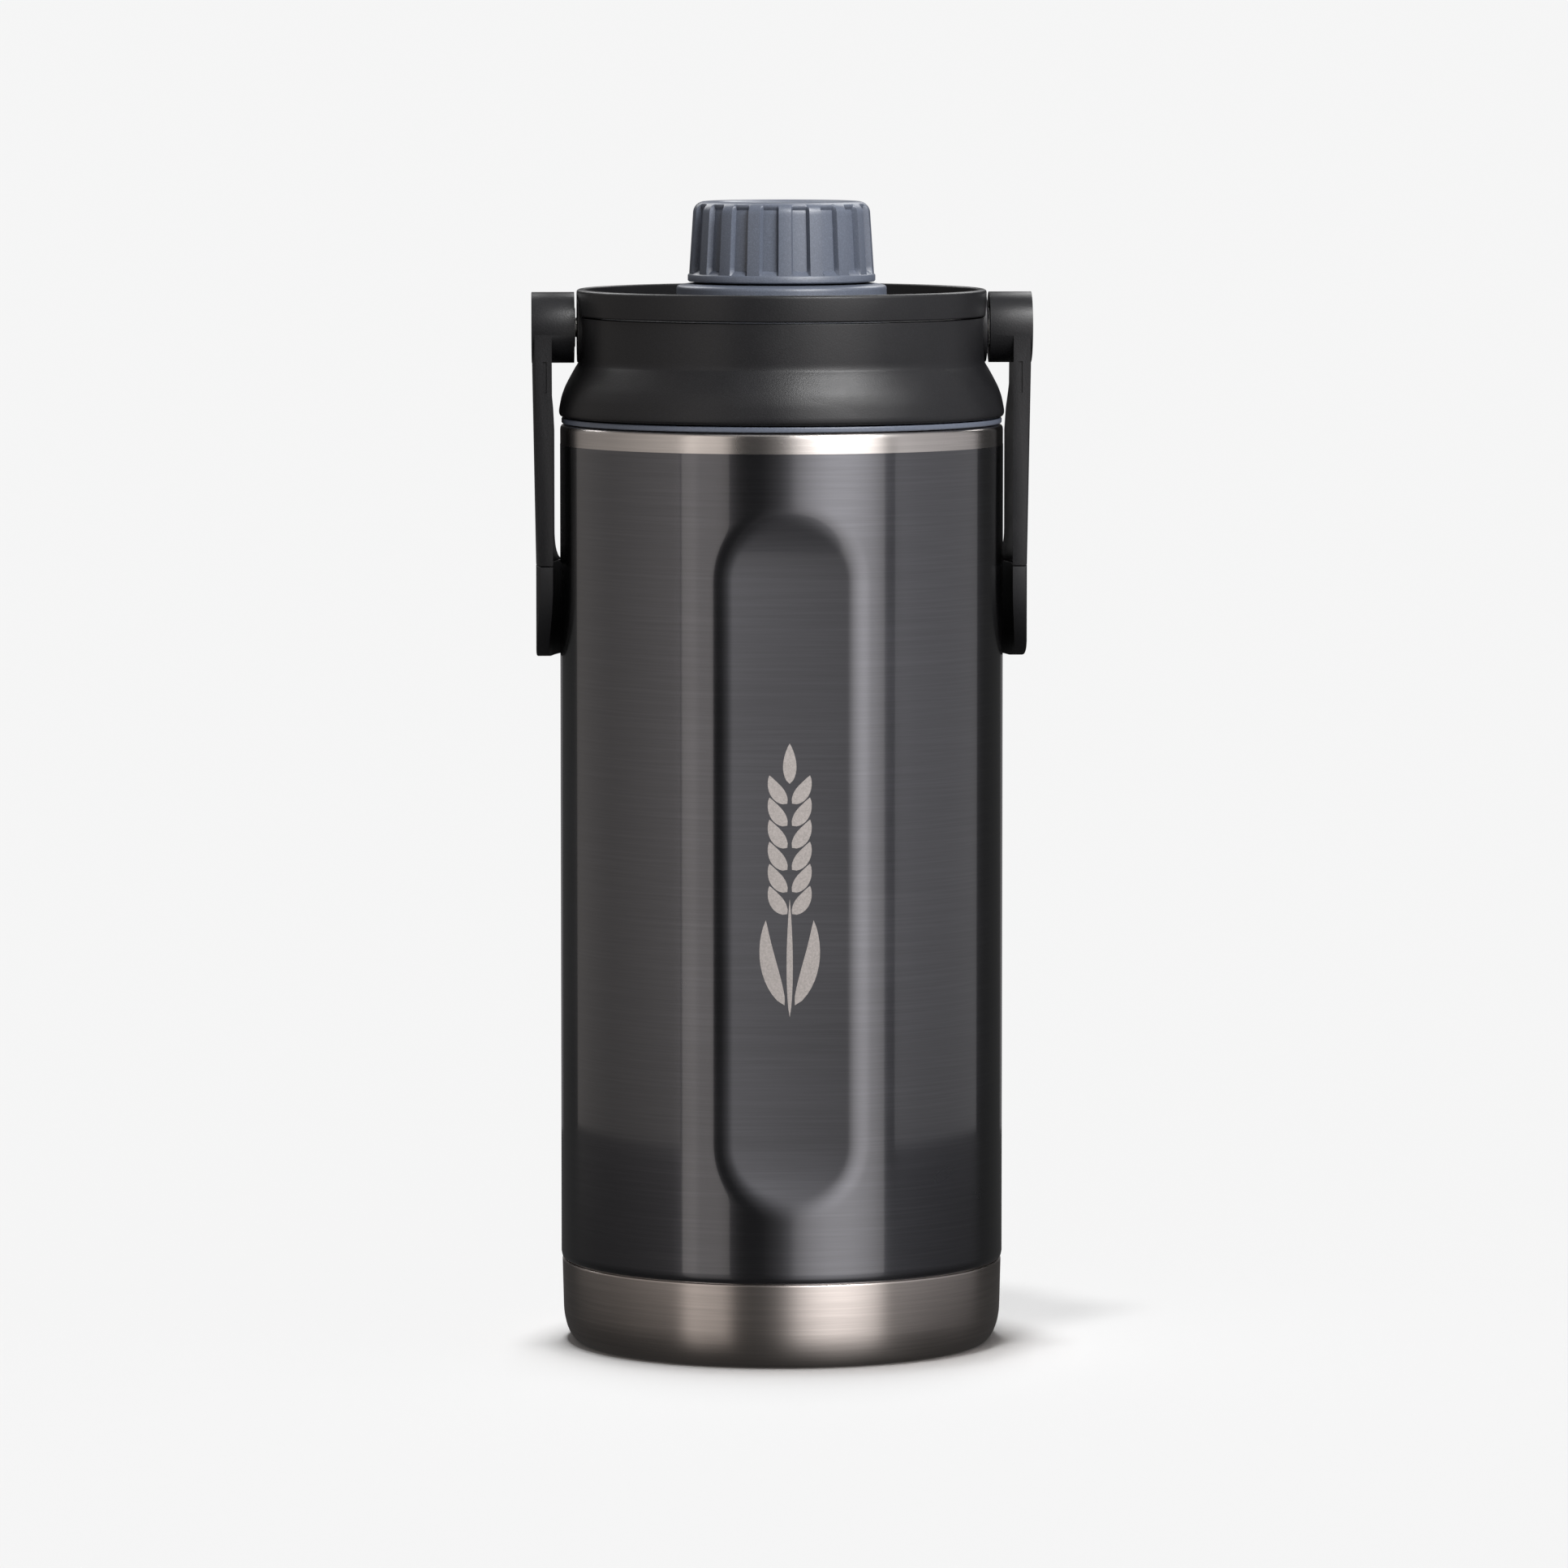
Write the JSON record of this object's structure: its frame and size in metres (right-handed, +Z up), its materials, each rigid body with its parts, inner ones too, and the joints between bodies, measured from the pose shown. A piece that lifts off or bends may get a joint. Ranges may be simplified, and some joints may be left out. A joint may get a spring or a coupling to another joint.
{
  "type": "insulated growler",
  "caption": "Insulated steel growler with screw lid, ribbed twist cap over a spout, swinging bail handle and pressed thumb recess.",
  "frame": {"origin": "centre of the base, on the surface the growler stands on", "axes": "+Z up along the bottle, -Y the front with the thumb recess, X along the handle's pins"},
  "size_m": [0.1286, 0.1205, 0.2944],
  "materials": {
    "graphite_coat": "glossy translucent graphite coat over brushed steel",
    "brushed_steel": "brushed round the bottle",
    "inner_steel": "satin electropolished",
    "solder": "dull",
    "getter_alloy": "matte sintered",
    "black_plastic": "fine grained",
    "black_grip": "soft matte",
    "slate_plastic": "satin",
    "silicone": "matte translucent",
    "foam": "closed cell foam",
    "pin_steel": "turned",
    "acetal": "natural"
  },
  "bodies": {
    "vessel": {"outer_shell": "graphite_coat", "base_cup": "brushed_steel", "inner_flask": "inner_steel", "base_disc": "brushed_steel", "vacuum_seal": "solder", "getter": "getter_alloy"},
    "lid_gasket_carrier": {"lid_gasket": "silicone"},
    "lid": {"inner_lid": "slate_plastic", "lid_insulation": "foam", "lid_shell": "black_plastic", "handle_ring": "black_plastic", "pivot_pin_left": "pin_steel", "pivot_pin_right": "pin_steel"},
    "cap_seal_carrier": {"cap_seal": "silicone"},
    "cap": {"cap_shell": "slate_plastic", "cap_liner": "slate_plastic"},
    "handle": {"handle_bail": "black_plastic", "handle_grip": "black_grip", "pivot_washer_left": "acetal", "pivot_washer_right": "acetal"}
  },
  "joints": [
    {"name": "lid_lift", "type": "slide", "parent": "vessel", "child": "lid_gasket_carrier", "axis": [0, 0, 1], "range_m": [0, 0.027]},
    {"name": "lid_twist", "type": "hinge", "parent": "lid_gasket_carrier", "child": "lid", "pos_m": [0, 0, 0.25], "axis": [0, 0, 1], "range_deg": [0, 1620]},
    {"name": "cap_lift", "type": "slide", "parent": "lid", "child": "cap_seal_carrier", "axis": [0, 0, 1], "range_m": [0, 0.02]},
    {"name": "cap_twist", "type": "hinge", "parent": "cap_seal_carrier", "child": "cap", "pos_m": [0, 0, 0.284], "axis": [0, 0, 1], "range_deg": [0, 1800]},
    {"name": "handle_swing", "type": "hinge", "parent": "lid", "child": "handle", "pos_m": [0, 0, 0.2621], "axis": [1, 0, 0], "range_deg": [0, 255]}
  ],
  "couplings": [
    {"joint": "lid_lift", "follows": "lid_twist", "m_per_rad": 0.00095493},
    {"joint": "cap_lift", "follows": "cap_twist", "m_per_rad": 0.00063662}
  ]
}
